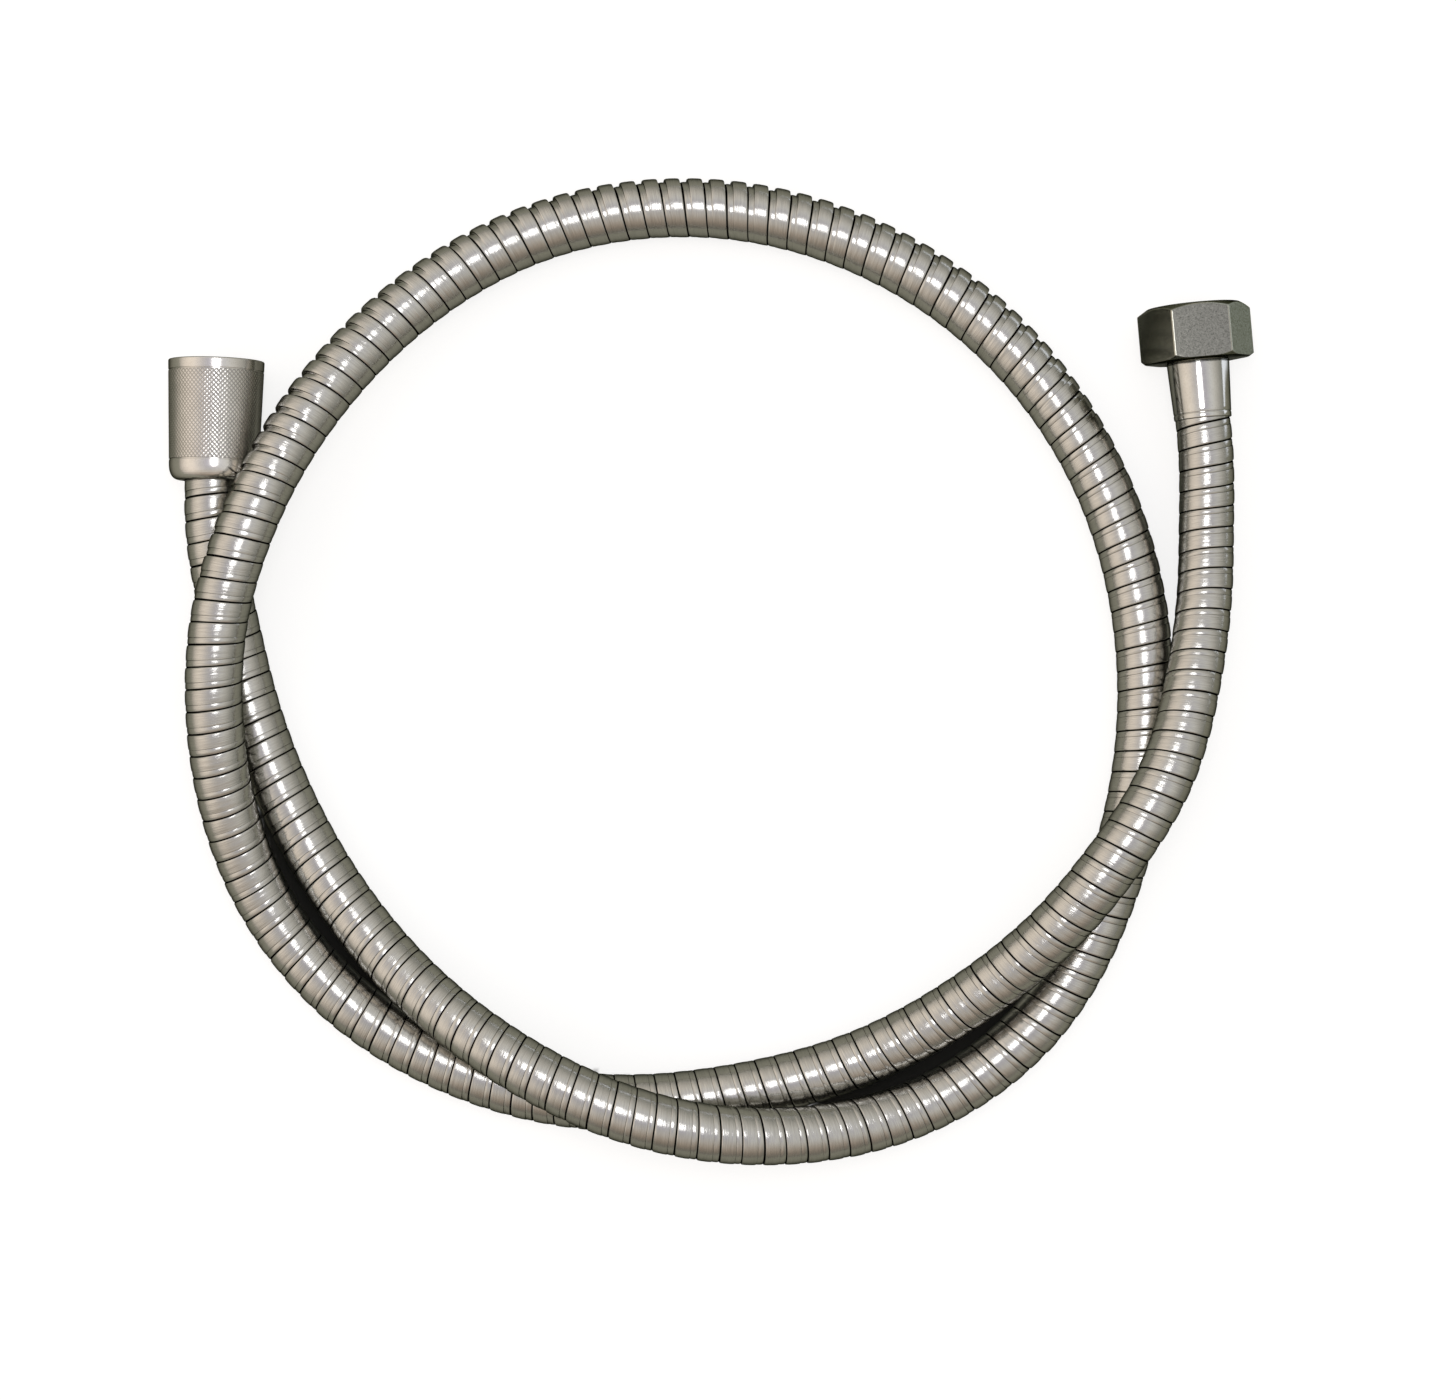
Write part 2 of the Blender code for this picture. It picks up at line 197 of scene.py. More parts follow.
def spoke(s, angle):
    """The direction out from the line at the distance s: the cosine of the angle upwards and its sine aside."""
    return np.cos(angle)[..., None] * along(above, s) + np.sin(angle)[..., None] * along(aside, s)


def around(s, angle, radius):
    """The point that lies radius from the line at the distance s: the line's point plus the radius times the spoke."""
    return along(middle, s) + radius[..., None] * spoke(s, angle)


print("length of the casing:", round(casing_length, 4), "m")

# %% [markdown]
# ## Turning arrays into meshes
# Every new piece below is a grid of points that numpy works out at once. These helpers join a grid's points with
# faces, give the mesh its UV map where a pattern follows the surface, and shade it smooth with crisp edges.

# %% Helpers for meshes
def even_angles(columns):
    """Angles of equal steps, once round."""
    return np.arange(columns) * (2 * math.pi / columns)


def grid_faces(rows, columns, close_rows=False, close_columns=False):
    """The corners of each cell of a grid, in an order whose outside is along column direction times row direction."""
    i = np.arange(rows if close_rows else rows - 1)[:, None]
    k = np.arange(columns if close_columns else columns - 1)[None, :]
    n, m = (i + 1) % rows, (k + 1) % columns
    cells = [i * columns + k, i * columns + m, n * columns + m, n * columns + k]
    return np.stack([c.ravel() for c in np.broadcast_arrays(*cells)], axis=1)


def make_piece(name, points, faces, material, sharp_deg=35.0, uv=None):
    """One mesh object at the origin. faces is an array with one row of corners a face, and uv has a pair a corner."""
    faces = np.asarray(faces)
    size = faces.shape[1]
    mesh = bpy.data.meshes.new(name)
    mesh.vertices.add(len(points))
    mesh.vertices.foreach_set("co", np.asarray(points, np.float32).ravel())
    mesh.loops.add(faces.size)
    mesh.loops.foreach_set("vertex_index", faces.astype(np.int32).ravel())
    mesh.polygons.add(len(faces))
    mesh.polygons.foreach_set("loop_start", np.arange(0, faces.size, size, dtype=np.int32))
    if uv is not None:
        mesh.uv_layers.new(name="UVMap").data.foreach_set("uv", np.asarray(uv, np.float32).ravel())
    mesh.update(calc_edges=True)
    mesh.validate()
    mesh.shade_smooth()
    mesh.set_sharp_from_angle(angle=math.radians(sharp_deg))
    mesh.materials.append(material)
    piece = bpy.data.objects.new(name, mesh)
    bpy.context.scene.collection.objects.link(piece)
    return piece


def set_at_points(piece, name, values):
    """Stores one number a point on the piece for its material to read: wear and painted light on the nuts, and painted
    shadow in the floor's gaps.
    """
    values = np.asarray(values, np.float32).ravel()
    piece.data.attributes.new(name, "FLOAT", "POINT").data.foreach_set("value", values)


def triangle_count(piece):
    """How many triangles the piece's faces make."""
    return sum(len(p.vertices) - 2 for p in piece.data.polygons)


print("a grid of 3 by 4 points has", len(grid_faces(3, 4)), "cells")

# %% [markdown]
# ## Helpers for materials
# A material is a small tree of nodes. Colours and roughness vary with noise that is read from the piece's own
# coordinates, so the pattern stays on the metal as the piece moves.

# %% Helpers for materials
def start_material(name, colour, metallic, roughness, edge_tint=None):
    """A Principled material with its constants set on the shader itself, and its node tree and links."""
    material = bpy.data.materials.new(name)
    material.use_nodes = True
    tree = material.node_tree
    shader = tree.nodes["Principled BSDF"]
    shader.inputs["Base Color"].default_value = (*colour, 1.0)
    shader.inputs["Metallic"].default_value = metallic
    shader.inputs["Roughness"].default_value = roughness
    if edge_tint is not None:
        shader.inputs["Specular Tint"].default_value = (*edge_tint, 1.0)
    return material, tree, shader


def add_node(tree, kind, inputs=None, **settings):
    """A node of that kind, with its settings and its input values or links."""
    node = tree.nodes.new(kind)
    for key, value in settings.items():
        setattr(node, key, value)
    for key, value in (inputs or {}).items():
        if isinstance(value, bpy.types.NodeSocket):
            tree.links.new(value, node.inputs[key])
        else:
            node.inputs[key].default_value = value
    return node


def arithmetic(tree, operation, *values):
    """The sum, product or other result of numbers and node outputs."""
    return add_node(tree, "ShaderNodeMath", dict(enumerate(values)), operation=operation).outputs[0]


def stretched(tree, vector, scale):
    """The vector with each of its parts times the scale's."""
    return add_node(tree, "ShaderNodeMapping", {"Vector": vector, "Scale": scale}).outputs["Vector"]


def object_place(tree, scale=(1.0, 1.0, 1.0)):
    """The point on the piece in metres, stretched by scale."""
    return stretched(tree, add_node(tree, "ShaderNodeTexCoord").outputs["Object"], scale)


def noise(tree, vector, scale, detail=3.0, roughness=0.5):
    """Soft noise from 0 to 1 at a scale in cells a unit of the vector."""
    inputs = {"Vector": vector, "Scale": scale, "Detail": detail, "Roughness": roughness}
    return add_node(tree, "ShaderNodeTexNoise", inputs).outputs["Fac"]


def ramp(tree, factor, stops):
    """A colour that changes with the factor: stops are (place, grey or colour)."""
    node = add_node(tree, "ShaderNodeValToRGB", {"Fac": factor})
    bar = node.color_ramp
    while len(bar.elements) < len(stops):
        bar.elements.new(0.5)
    for element, (place, value) in zip(bar.elements, stops):
        element.position = place
        element.color = (value,) * 3 + (1.0,) if isinstance(value, (int, float)) else (*value, 1.0)
    return node.outputs["Color"]


def mix(tree, factor, first, second, blend_type="MIX"):
    """Two colours mixed by the factor."""
    node = add_node(tree, "ShaderNodeMix", data_type="RGBA", blend_type=blend_type)
    for index, value in ((0, factor), (6, first), (7, second)):
        if isinstance(value, bpy.types.NodeSocket):
            tree.links.new(value, node.inputs[index])
        else:
            node.inputs[index].default_value = value if index == 0 else (*value, 1.0)
    return node.outputs[2]


def spread(tree, factor, low, high, start=0.0, end=1.0):
    """The factor from start to end laid out from low to high, and no further at either end."""
    inputs = {"Value": factor, "From Min": start, "From Max": end, "To Min": low, "To Max": high}
    return add_node(tree, "ShaderNodeMapRange", inputs).outputs["Result"]


def bump(tree, shader, height, distance_m, strength):
    """Dents of that depth in metres."""
    inputs = {"Height": height, "Distance": distance_m, "Strength": strength}
    tree.links.new(add_node(tree, "ShaderNodeBump", inputs).outputs["Normal"], shader.inputs["Normal"])


# %% [markdown]
# ## The chromed strip
# The real strip is bright chrome on steel or brass. It isn't a perfect mirror: rolling leaves fine streaks along
# the strip. The seams and the lip are painted darker, as the shade that falls in them. The UV map runs across the
# strip in u and along it in v, one unit of v a turn, so streaks and seams follow the strip by themselves.

# %% The strip's material
PITCH_GUESS = 0.00515
DARK_EDGE = (0.05, 0.06, 0.04)
STREAK_SHARE, STREAK_RELIEF = 0.55, 0.35
WAVE_DEPTH = 0.00012
# Painted shade by the place u across the strip: black in the seam at both ends, and a faint shadow line at the lip.
SEAM_PAINTED_SHADE = [(0.0, 0.006), (0.036, 0.012), (0.050, 1.0), (0.690, 1.0), (0.702, 0.78), (0.714, 1.0), (0.958, 1.0),
             (0.972, 0.02), (1.0, 0.006)]


def strip_metal():
    """Chrome whose colour is its own times streaks along the strip, with painted shade in the seam where u is near 0 or
    1 and a faint painted shadow line at the lip. The streaks are also rougher and raised a little, on soft waves, so
    that the lamp's line breaks up on each turn."""
    material, tree, shader = start_material("chromed_strip", (0.60, 0.59, 0.56), 1.0, 0.17, DARK_EDGE)
    uv = add_node(tree, "ShaderNodeUVMap", uv_map="UVMap").outputs["UV"]
    streaks = noise(tree, stretched(tree, uv, (9.0, 3.0, 1.0)), 3.0, 4.0, 0.6)
    cloud = noise(tree, object_place(tree), 160.0, 2.0)
    metal = mix(tree, cloud, (0.56, 0.55, 0.52), (0.66, 0.65, 0.62))
    metal = mix(tree, STREAK_SHARE, metal, ramp(tree, streaks, [(0.30, 0.62), (0.70, 1.0)]), "MULTIPLY")
    across = add_node(tree, "ShaderNodeSeparateXYZ", {"Vector": uv}).outputs["X"]
    # Painted shade: black in the seams and a faint shadow line along the lip.
    metal = mix(tree, 1.0, metal, ramp(tree, across, SEAM_PAINTED_SHADE), "MULTIPLY")
    tree.links.new(metal, shader.inputs["Base Color"])
    tree.links.new(spread(tree, streaks, 0.13, 0.27), shader.inputs["Roughness"])
    waves = noise(tree, stretched(tree, uv, (5.5, 2.6, 1.0)), 1.0, 1.5, 0.4)
    bump(tree, shader, arithmetic(tree, "MULTIPLY_ADD", streaks, STREAK_RELIEF, waves), WAVE_DEPTH, 0.8)
    return material


chromed_strip = strip_metal()
print("nodes of the strip's material:", len(chromed_strip.node_tree.nodes))

# %% [markdown]
# ## The casing: one strip, wound round the line
# Across one turn the strip has a raised bead, a lip at its far edge, a lower shelf and the seam at the next bead.
# That profile is carried along a helix: the point at the helix angle a and the place u across the strip lies at
# the distance pitch times (a / full turn + u) along the line, at the angle a round it. Neighbouring turns share
# their edge points, so the whole casing is one surface. On the outside of a bend the turns slide apart, and the
# shelf shows deeper there, most of all along the free arc at the top left.

# %% The strip's profile
STEPS_A_TURN = 32
# Each row: place across the strip in mm from the seam, and how far below the bead it lies, closed and open, in mm.
STRIP_PROFILE = np.array([
    (0.00, 0.26, 1.25),
    (0.22, 0.16, 0.62),
    (0.34, 0.070, 0.17),
    (0.60, 0.050, 0.06),
    (1.10, 0.010, 0.01),
    (2.60, 0.010, 0.01),
    (3.30, 0.055, 0.07),
    (3.56, 0.080, 0.22),
    (3.62, 0.180, 0.80),
    (3.78, 0.090, 0.96),
    (4.35, 0.075, 0.90),
    (4.90, 0.110, 0.98),
]) / 1000
STRIP_CREASE_DEG = 38.0
LIP_ROW = np.arange(len(STRIP_PROFILE)) == 8
SEAM_FROM_HEX_END = 0.00125
# The free arc lies between these two points of the route, and fades over this length at both ends.
OPEN_FROM, OPEN_TO = ROUTE[14] + shift, ROUTE[23] + shift
FREE_FADE = 0.05
CLOSED_SHARE = 0.10
FREE_SHARE = 1.0
# The casing is this much slimmer near the hexagonal nut: from this far before the end, and fully this much later.
SLIM_NEAR_HEX, SLIM_FROM, SLIM_FADE = 0.00025, 0.12, 0.10
SWELL = 0.00045


def distance_of(point):
    """How far along the casing the line comes nearest to a point."""
    return ruler[np.argmin(np.linalg.norm(middle - point, axis=1))] - SPARE_END


def smoothstep(x):
    """0 below 0, 1 above 1, and an S-shaped rise between."""
    x = np.clip(x, 0, 1)
    return x * x * (3 - 2 * x)


def wobble(x, seed, waves=9, longest=3.0):
    """A smooth random wave of about -1 to 1, a sum of sines with seeded lengths and phases."""
    random = np.random.default_rng(seed)
    out = np.zeros_like(x)
    for length, phase in zip(random.uniform(0.8, longest, waves), random.uniform(0, 2 * math.pi, waves)):
        out += np.sin(2 * math.pi * x / length + phase)
    return out / math.sqrt(waves)


turn_count = round((casing_length - SEAM_FROM_HEX_END) / PITCH_GUESS)
pitch = (casing_length - SEAM_FROM_HEX_END) / turn_count
bend = smoothed(np.gradient(ahead, axis=0) / STEP, 40)
free_from, free_to = distance_of(OPEN_FROM), distance_of(OPEN_TO)
print("turns:", turn_count, "pitch:", round(pitch * 1000, 3), "mm; free arc:", round(free_from, 3), round(free_to, 3))


def openness(s, angle):
    """How far the turns have slid apart, from 0 to 1: more on the outside of the bend and along the free arc. With it
    come how far the raised beads swell there, which is nothing underneath, where the hose lies on the floor, and how
    much of the free arc it is."""
    outward = -along(bend, s)
    outward /= np.maximum(np.linalg.norm(outward, axis=-1), 1e-6)[..., None]
    side = np.sum(spoke(s, angle) * outward, axis=-1)
    free = smoothstep((s - free_from) / FREE_FADE) * smoothstep((free_to - s) / FREE_FADE)
    share = CLOSED_SHARE * smoothstep(side) + (FREE_SHARE - CLOSED_SHARE) * free * smoothstep((side + 0.10) / 0.95)
    swell = SWELL * free * smoothstep((side + 1.0) / 1.6) * smoothstep((np.cos(angle) + 0.75) / 0.7)
    return share, swell, free


# %% [markdown]
# ## The strip as one mesh
# Sweeping an outline along a drawn spiral could do it, but neighbouring turns would only touch. Here one grid is
# worked out instead: a row for each step round the helix and a column for each place across the strip. The last
# column of a turn is joined to the first of the next, 32 rows on, by the faces of the seam. The same steps give the
# bore. A little seeded wobble keeps the turns from looking machined by a computer.

# %% The casing's mesh
SPARE_TURNS = 2
SHIFT_WOBBLE, DEPTH_WOBBLE = 0.00005, 0.00002

helix_step = np.arange(-SPARE_TURNS * STEPS_A_TURN, (turn_count + SPARE_TURNS) * STEPS_A_TURN + 1)
turn = helix_step / STEPS_A_TURN
place_across = STRIP_PROFILE[:, 0]


def wind_strip():
    """The points of the strip's outside, row by row, and then of the bore. Each turn's place along the line and its
    depth wobble a little."""
    angle = helix_step * (2 * math.pi / STEPS_A_TURN)
    s = pitch * turn[:, None] + place_across[None, :] + SHIFT_WOBBLE * wobble(turn, 3)[:, None]
    a = np.broadcast_to(angle[:, None], s.shape)
    open_share, swell, free = openness(s, a)
    closed = STRIP_PROFILE[None, :, 1] * (1 - 0.5 * free * LIP_ROW)
    drop = closed * (1 - open_share) + STRIP_PROFILE[None, :, 2] * open_share
    slim = SLIM_NEAR_HEX * smoothstep((s - casing_length + SLIM_FROM) / SLIM_FADE)
    radius = HOSE_R + swell - drop - slim - DEPTH_WOBBLE * (1 + wobble(turn, 5))[:, None]
    bore = around(pitch * (turn + 0.5), angle, np.full(len(turn), CASING_BORE_R))
    return np.concatenate([around(s, a, radius).reshape(-1, 3), bore])


def strip_cells():
    """The faces and their UV pairs: the grid's cells, then the seam's, then the bore's. u is the place across in
    pitches and v counts turns, and the bore takes one plain spot."""
    rows, columns = len(turn), len(place_across)
    u = place_across / pitch
    uv_at_point = np.stack(np.broadcast_arrays(u[None, :], turn[:, None]), axis=-1).reshape(-1, 2)
    strip = grid_faces(rows, columns)[:, [0, 3, 2, 1]]
    i = np.arange(rows - 1 - STEPS_A_TURN)
    n = i + STEPS_A_TURN
    last = columns - 1
    seam = np.stack([i * columns + last, (i + 1) * columns + last, (n + 1) * columns, n * columns], axis=1)
    edge, one = np.full(len(i), u[-1]), np.ones(len(i))
    corners = ((edge, turn[i]), (edge, turn[i + 1]), (one, turn[i + 1]), (one, turn[i]))
    seam_uv = np.stack([np.stack(corner, axis=1) for corner in corners], axis=1)
    b = rows * columns
    inner = np.stack([b + i, b + n, b + n + 1, b + i + 1], axis=1)
    inner_uv = np.broadcast_to(np.array([[0.5, 0.0]] * 4), (len(i), 4, 2))
    return np.concatenate([strip, seam, inner]), np.concatenate([uv_at_point[strip], seam_uv, inner_uv])


casing_points = wind_strip()
casing_faces, casing_uv = strip_cells()
print("casing before its ends are cut:", len(casing_points), "points and", len(casing_faces), "faces")

# %% [markdown]
# ## Cutting the ends square
# The real strip is sawn off square before the sleeves grip it. The wound mesh runs a little past both ends, so a
# flat cut there gives the same end, and the open ring between outside and bore is filled. A Boolean would test the
# whole hose, and this cut touches only the faces at the end.

# %% Make the casing and cut its ends
def cut_square(piece, place, outward):
    """Cuts the piece square across at place, takes away what lies past it, and closes the wall with a flat ring. Only
    what lies round the axis near the place is cut, because other strands of the hose pass close by."""
    spot = np.empty(len(piece.data.vertices) * 3)
    piece.data.vertices.foreach_get("co", spot)
    offset = spot.reshape(-1, 3) - place
    forward = offset @ outward
    off_axis = np.linalg.norm(offset - forward[:, None] * outward, axis=1)
    b = bmesh.new()
    b.from_mesh(piece.data)
    b.verts.ensure_lookup_table()
    near = [b.verts[i] for i in np.flatnonzero((off_axis < 1.05 * HOSE_R) & (np.abs(forward) < SPARE_END + 0.001))]
    faces = {f for v in near for f in v.link_faces}
    edges = {e for f in faces for e in f.edges}
    verts = {v for f in faces for v in f.verts}
    cut = bmesh.ops.bisect_plane(b, geom=[*verts, *edges, *faces], plane_co=place, plane_no=outward, clear_outer=True)
    rim = [e for e in cut["geom_cut"] if isinstance(e, bmesh.types.BMEdge) and e.is_boundary]
    bmesh.ops.triangle_fill(b, edges=rim, use_beauty=True, normal=outward)
    open_edges = sum(e.is_boundary for e in b.edges)
    b.to_mesh(piece.data)
    b.free()
    piece.data.shade_smooth()
    piece.data.set_sharp_from_angle(angle=math.radians(STRIP_CREASE_DEG))
    return open_edges


casing = make_piece("wound_casing", casing_points, casing_faces, chromed_strip, STRIP_CREASE_DEG, casing_uv)
cut_square(casing, hose_start, -knurled_frame[1])
left_open = cut_square(casing, hose_end, -hex_frame[1])
print("casing:", triangle_count(casing), "triangles, open edges:", left_open)

# %% [markdown]
# ## The inner hose
# The water runs in a plain rubber tube inside the strip. It hardly shows, so it is a simple closed pipe: two circles
# carried along the same line, one for the outside and one for the bore, joined by flat rings at its ends.

# %% The inner hose
LINER_START = 0.0183
LINER_R, LINER_BORE_R = 0.00515, 0.00375


def rubber_look(name, colour, cell, grain_m):
    """Dull rubber with a fine moulded grain and a little bloom."""
    material, tree, shader = start_material(name, colour, 0.0, 0.6)
    place = object_place(tree)
    bloom = noise(tree, place, 180.0, 3.0)
    pale = tuple(1.9 * c + 0.006 for c in colour)
    tree.links.new(mix(tree, bloom, colour, pale), shader.inputs["Base Color"])
    tree.links.new(spread(tree, bloom, 0.5, 0.75), shader.inputs["Roughness"])
    bump(tree, shader, noise(tree, place, cell, 2.0), grain_m, 0.4)
    return material


def pipe_along_line(name, from_s, to_s, outer_r, bore_r, material, rows=300, columns=20):
    """A hollow pipe on the hose's line: rings of the outer radius one way and of the bore radius back again."""
    way = np.linspace(from_s, to_s, rows)
    s = np.concatenate([way, way[::-1]])
    r = np.repeat([outer_r, bore_r], rows)
    s, a = np.meshgrid(s, even_angles(columns), indexing="ij")
    points = around(s, a, np.broadcast_to(r[:, None], s.shape))
    return make_piece(name, points.reshape(-1, 3), grid_faces(2 * rows, columns, True, True), material)


liner_rubber = rubber_look("liner_rubber", (0.045, 0.045, 0.05), 1400.0, 0.00004)
inset = CASING_START - LINER_START
liner = pipe_along_line("rubber_inner_hose", -inset, casing_length + inset, LINER_R, LINER_BORE_R, liner_rubber)
print("inner hose:", triangle_count(liner), "triangles")

# %% [markdown]
# ## Turned pieces
# Nuts, sleeves, tails and washers are turned on a lathe. Such a shape is a closed outline, the place along the axis
# and the distance from it, carried once round. Where the distance also changes with the angle, the same grid
# makes hexagons, threads and knurls.

# %% A turned piece, and the thread that both nuts share
SOCKET_R, THREAD_ROOT_R, THREAD_PITCH = 0.00935, 0.01048, 0.001814
THREAD_MOUTH_R = 0.01068
THREAD_DEEP = 0.0080
SOCKET_DEPTH, NUT_BACK, NECK_HOLE_R = 0.0103, 0.0133, 0.0065


def turn_round(angle, t, r, fitting):
    """The points at the distance r from a fitting's axis, t in from its mouth, at the angle from level to upwards."""
    mouth, inward, across, up = fitting
    t, r = np.broadcast_arrays(t, r)
    spokes = np.cos(angle)[:, None] * across + np.sin(angle)[:, None] * up
    return mouth + t[..., None] * inward + r[..., None] * spokes[None]


def turned(name, fitting, outline_mm, material, columns=72, sharp_deg=35.0):
    """A closed outline of (place along the axis, radius) in mm, carried once round a fitting's axis."""
    outline = np.array(outline_mm) / 1000
    points = turn_round(even_angles(columns), outline[:, :1], outline[:, 1:], fitting)
    faces = grid_faces(len(outline), columns, True, True)
    return make_piece(name, points.reshape(-1, 3), faces, material, sharp_deg)


def triangle_wave(x):
    """0 at whole numbers and 1 midway between them, in straight lines."""
    return 1 - np.abs(2 * (x - np.floor(x)) - 1)


def thread_rows(angle):
    """Places and radii of the nut's inside, from the wall behind the thread out to the mouth. The thread's radius is
    a flattened triangle wave of the place in pitches less the angle in turns, and the mouth's chamfer cuts it."""
    t = np.linspace(THREAD_DEEP, 0.0, 55)[:, None]
    wave = 2 * triangle_wave(t / THREAD_PITCH - angle[None, :] / (2 * math.pi)) - 1
    fade = smoothstep((THREAD_DEEP - t) / 0.0006)
    half = (THREAD_ROOT_R - SOCKET_R) / 2
    thread = SOCKET_R + half * (1 + np.clip(1.3 * wave, -1, 1)) * fade
    r = np.maximum(thread, THREAD_MOUTH_R - t)
    flat = np.array([[NUT_BACK, NECK_HOLE_R], [SOCKET_DEPTH, NECK_HOLE_R], [SOCKET_DEPTH, SOCKET_R]])
    t = np.concatenate([flat[:, :1], t])
    r = np.concatenate([np.broadcast_to(flat[:, 1:], (3, len(angle))), r])
    return np.broadcast_to(t, r.shape), r


print("thread:", len(thread_rows(even_angles(96))[0]), "rows")

# %% [markdown]
# ## The plated metals
# Chrome is a near mirror with fine wiping marks. Satin nickel is softer and cloudy, with specks. Brass shows the
# lathe's fine grooves. Each is a metal whose roughness and colour move a little over the surface.

# %% The plated metals
def plated_look(name, dark, light, rough, speck, cell, edge_tint, wear_and_painted_light_colour=None):
    """Plated metal: colour between dark and light by soft clouds, roughness in the range rough, and faint dents. Where
    the piece's own attribute says so, the colour turns to the other one given: wear with a painted highlight on the
    hexagonal nut's corners, and painted shade in the knurl's grooves."""
    material, tree, shader = start_material(name, light, 1.0, rough[0], edge_tint)
    place = object_place(tree)
    cloud = noise(tree, place, cell, 4.0, 0.6)
    metal = mix(tree, ramp(tree, cloud, [(0.3, 0.0), (0.7, 1.0)]), dark, light)
    dots = noise(tree, place, 3600.0, 1.0)
    metal = mix(tree, speck, metal, ramp(tree, dots, [(0.30, 0.35), (0.45, 1.0)]), "MULTIPLY")
    if wear_and_painted_light_colour is not None:
        # The attribute paints wear and a highlight on the hexagonal nut's corners, and shade in the knurl's grooves.
        wear_and_painted_light = add_node(tree, "ShaderNodeAttribute", attribute_name="wear_and_painted_light").outputs["Fac"]
        metal = mix(tree, wear_and_painted_light, metal, wear_and_painted_light_colour)
    tree.links.new(metal, shader.inputs["Base Color"])
    tree.links.new(spread(tree, cloud, *rough), shader.inputs["Roughness"])
    bump(tree, shader, noise(tree, place, 3 * cell, 3.0), 0.00004, 0.15)
    return material


def brass_look():
    """Turned brass: warm metal with fine grooves and a little tarnish."""
    material, tree, shader = start_material("turned_brass", (0.72, 0.5, 0.22), 1.0, 0.28)
    place = object_place(tree)
    tarnish = noise(tree, place, 300.0, 4.0)
    tree.links.new(mix(tree, tarnish, (0.5, 0.33, 0.13), (0.78, 0.56, 0.27)), shader.inputs["Base Color"])
    tree.links.new(spread(tree, tarnish, 0.2, 0.42), shader.inputs["Roughness"])
    grooves = noise(tree, object_place(tree, (200.0, 9000.0, 200.0)), 1.0, 1.0)
    bump(tree, shader, grooves, 0.00002, 0.3)
    return material


bright_chrome = plated_look("bright_chrome", (0.58, 0.57, 0.54), (0.66, 0.65, 0.62), (0.10, 0.16), 0.15, 220.0,
                            DARK_EDGE)
# Its last colour is dark: the painted shade in the knurl's grooves.
knurled_chrome = plated_look("knurled_chrome", (0.66, 0.64, 0.61), (0.76, 0.74, 0.71), (0.15, 0.20), 0.15, 220.0,
                             DARK_EDGE, (0.16, 0.155, 0.14))
# Its last colour is lighter: worn corners that also carry a painted highlight.
satin_nickel = plated_look("satin_nickel", (0.208, 0.211, 0.177), (0.318, 0.32, 0.275), (0.14, 0.20), 0.7, 1800.0,
                           DARK_EDGE, (0.55, 0.54, 0.47))
turned_brass = brass_look()
washer_rubber = rubber_look("washer_rubber", (0.03, 0.03, 0.03), 2600.0, 0.00003)
print("materials so far:", len(bpy.data.materials))

# %% [markdown]
# ## The hexagonal nut
# A hexagon bar with both ends turned to a cone, which leaves the arched edges that every nut shows. Seen round
# the axis, a hexagon's side lies at its half width divided by the cosine of the angle from the side's middle,
# and a small arc rounds each corner. The cone meets the side where the side's distance says, so the rows of the
# grid follow the arches by themselves.

# %% The hexagonal nut
HEX_HALF_FLATS, HEX_FACE_R, HEX_BACK_R = 0.0120, 0.0114, 0.0127
HEX_CONE = math.tan(math.radians(32.0))
HEX_CORNER_R = 0.0005
ARCH_ROUND = 0.00012


def hexagon_angles():
    """Angles round the nut, closer together at each rounded corner, which lies at whole steps of 60 degrees."""
    half = np.array([0.35, 0.7, 1.044, 1.5, 4.0, 9.0, 15.0, 22.0, 30.0])
    sector = np.concatenate([[0.0], half, 60.0 - half[-2::-1]])
    return np.radians((np.arange(6)[:, None] * 60.0 + sector).ravel())


def from_corner(angle):
    """How far each angle is from the nearest corner of the hexagon."""
    return np.abs((angle + math.pi / 6) % (math.pi / 3) - math.pi / 6)


def hexagon_radius(angle):
    """The distance from the axis to the hexagon's side. Near a corner it is the far side of a small circle."""
    off = from_corner(angle)
    side = HEX_HALF_FLATS / np.cos(math.pi / 6 - off)
    centre = (HEX_HALF_FLATS - HEX_CORNER_R) / math.cos(math.pi / 6)
    inside = np.maximum(HEX_CORNER_R**2 - (centre * np.sin(off)) ** 2, 0)
    arc = centre * np.cos(off) + np.sqrt(inside)
    tangent = math.pi / 6 - math.atan(centre / 2 / HEX_HALF_FLATS)
    return np.where(off < tangent, arc, side)


def hexagon_end(side, face_r):
    """Rows from a turned end face over its cone to the hexagon's sides, as depths from the end and radii. The cone
    starts at face_r and meets each side where its radius is the side's distance, and a small round joins them."""
    arch = np.maximum(side - face_r, 0) * HEX_CONE
    low = np.minimum(side, face_r)
    edge = np.minimum(ARCH_ROUND, 0.4 * arch / HEX_CONE + 0.00004)
    depth = [0 * arch, 0 * arch + 0.00006]
    radius = [low - 0.0001, low]
    for part in (0.35, 0.7):
        depth.append(arch * part + 0.00006)
        radius.append(low + (side - low) * part)
    depth += [np.maximum(arch - edge * HEX_CONE, 0.7 * arch) + 0.00007, arch + 0.00008, arch + 0.00008 + 1.5 * edge,
              arch + 0.00008 + 4 * edge, np.full_like(arch, 0.0031)]
    radius += [side - edge, side - 0.28 * edge, side, side, side]
    return np.array(depth), np.array(radius)


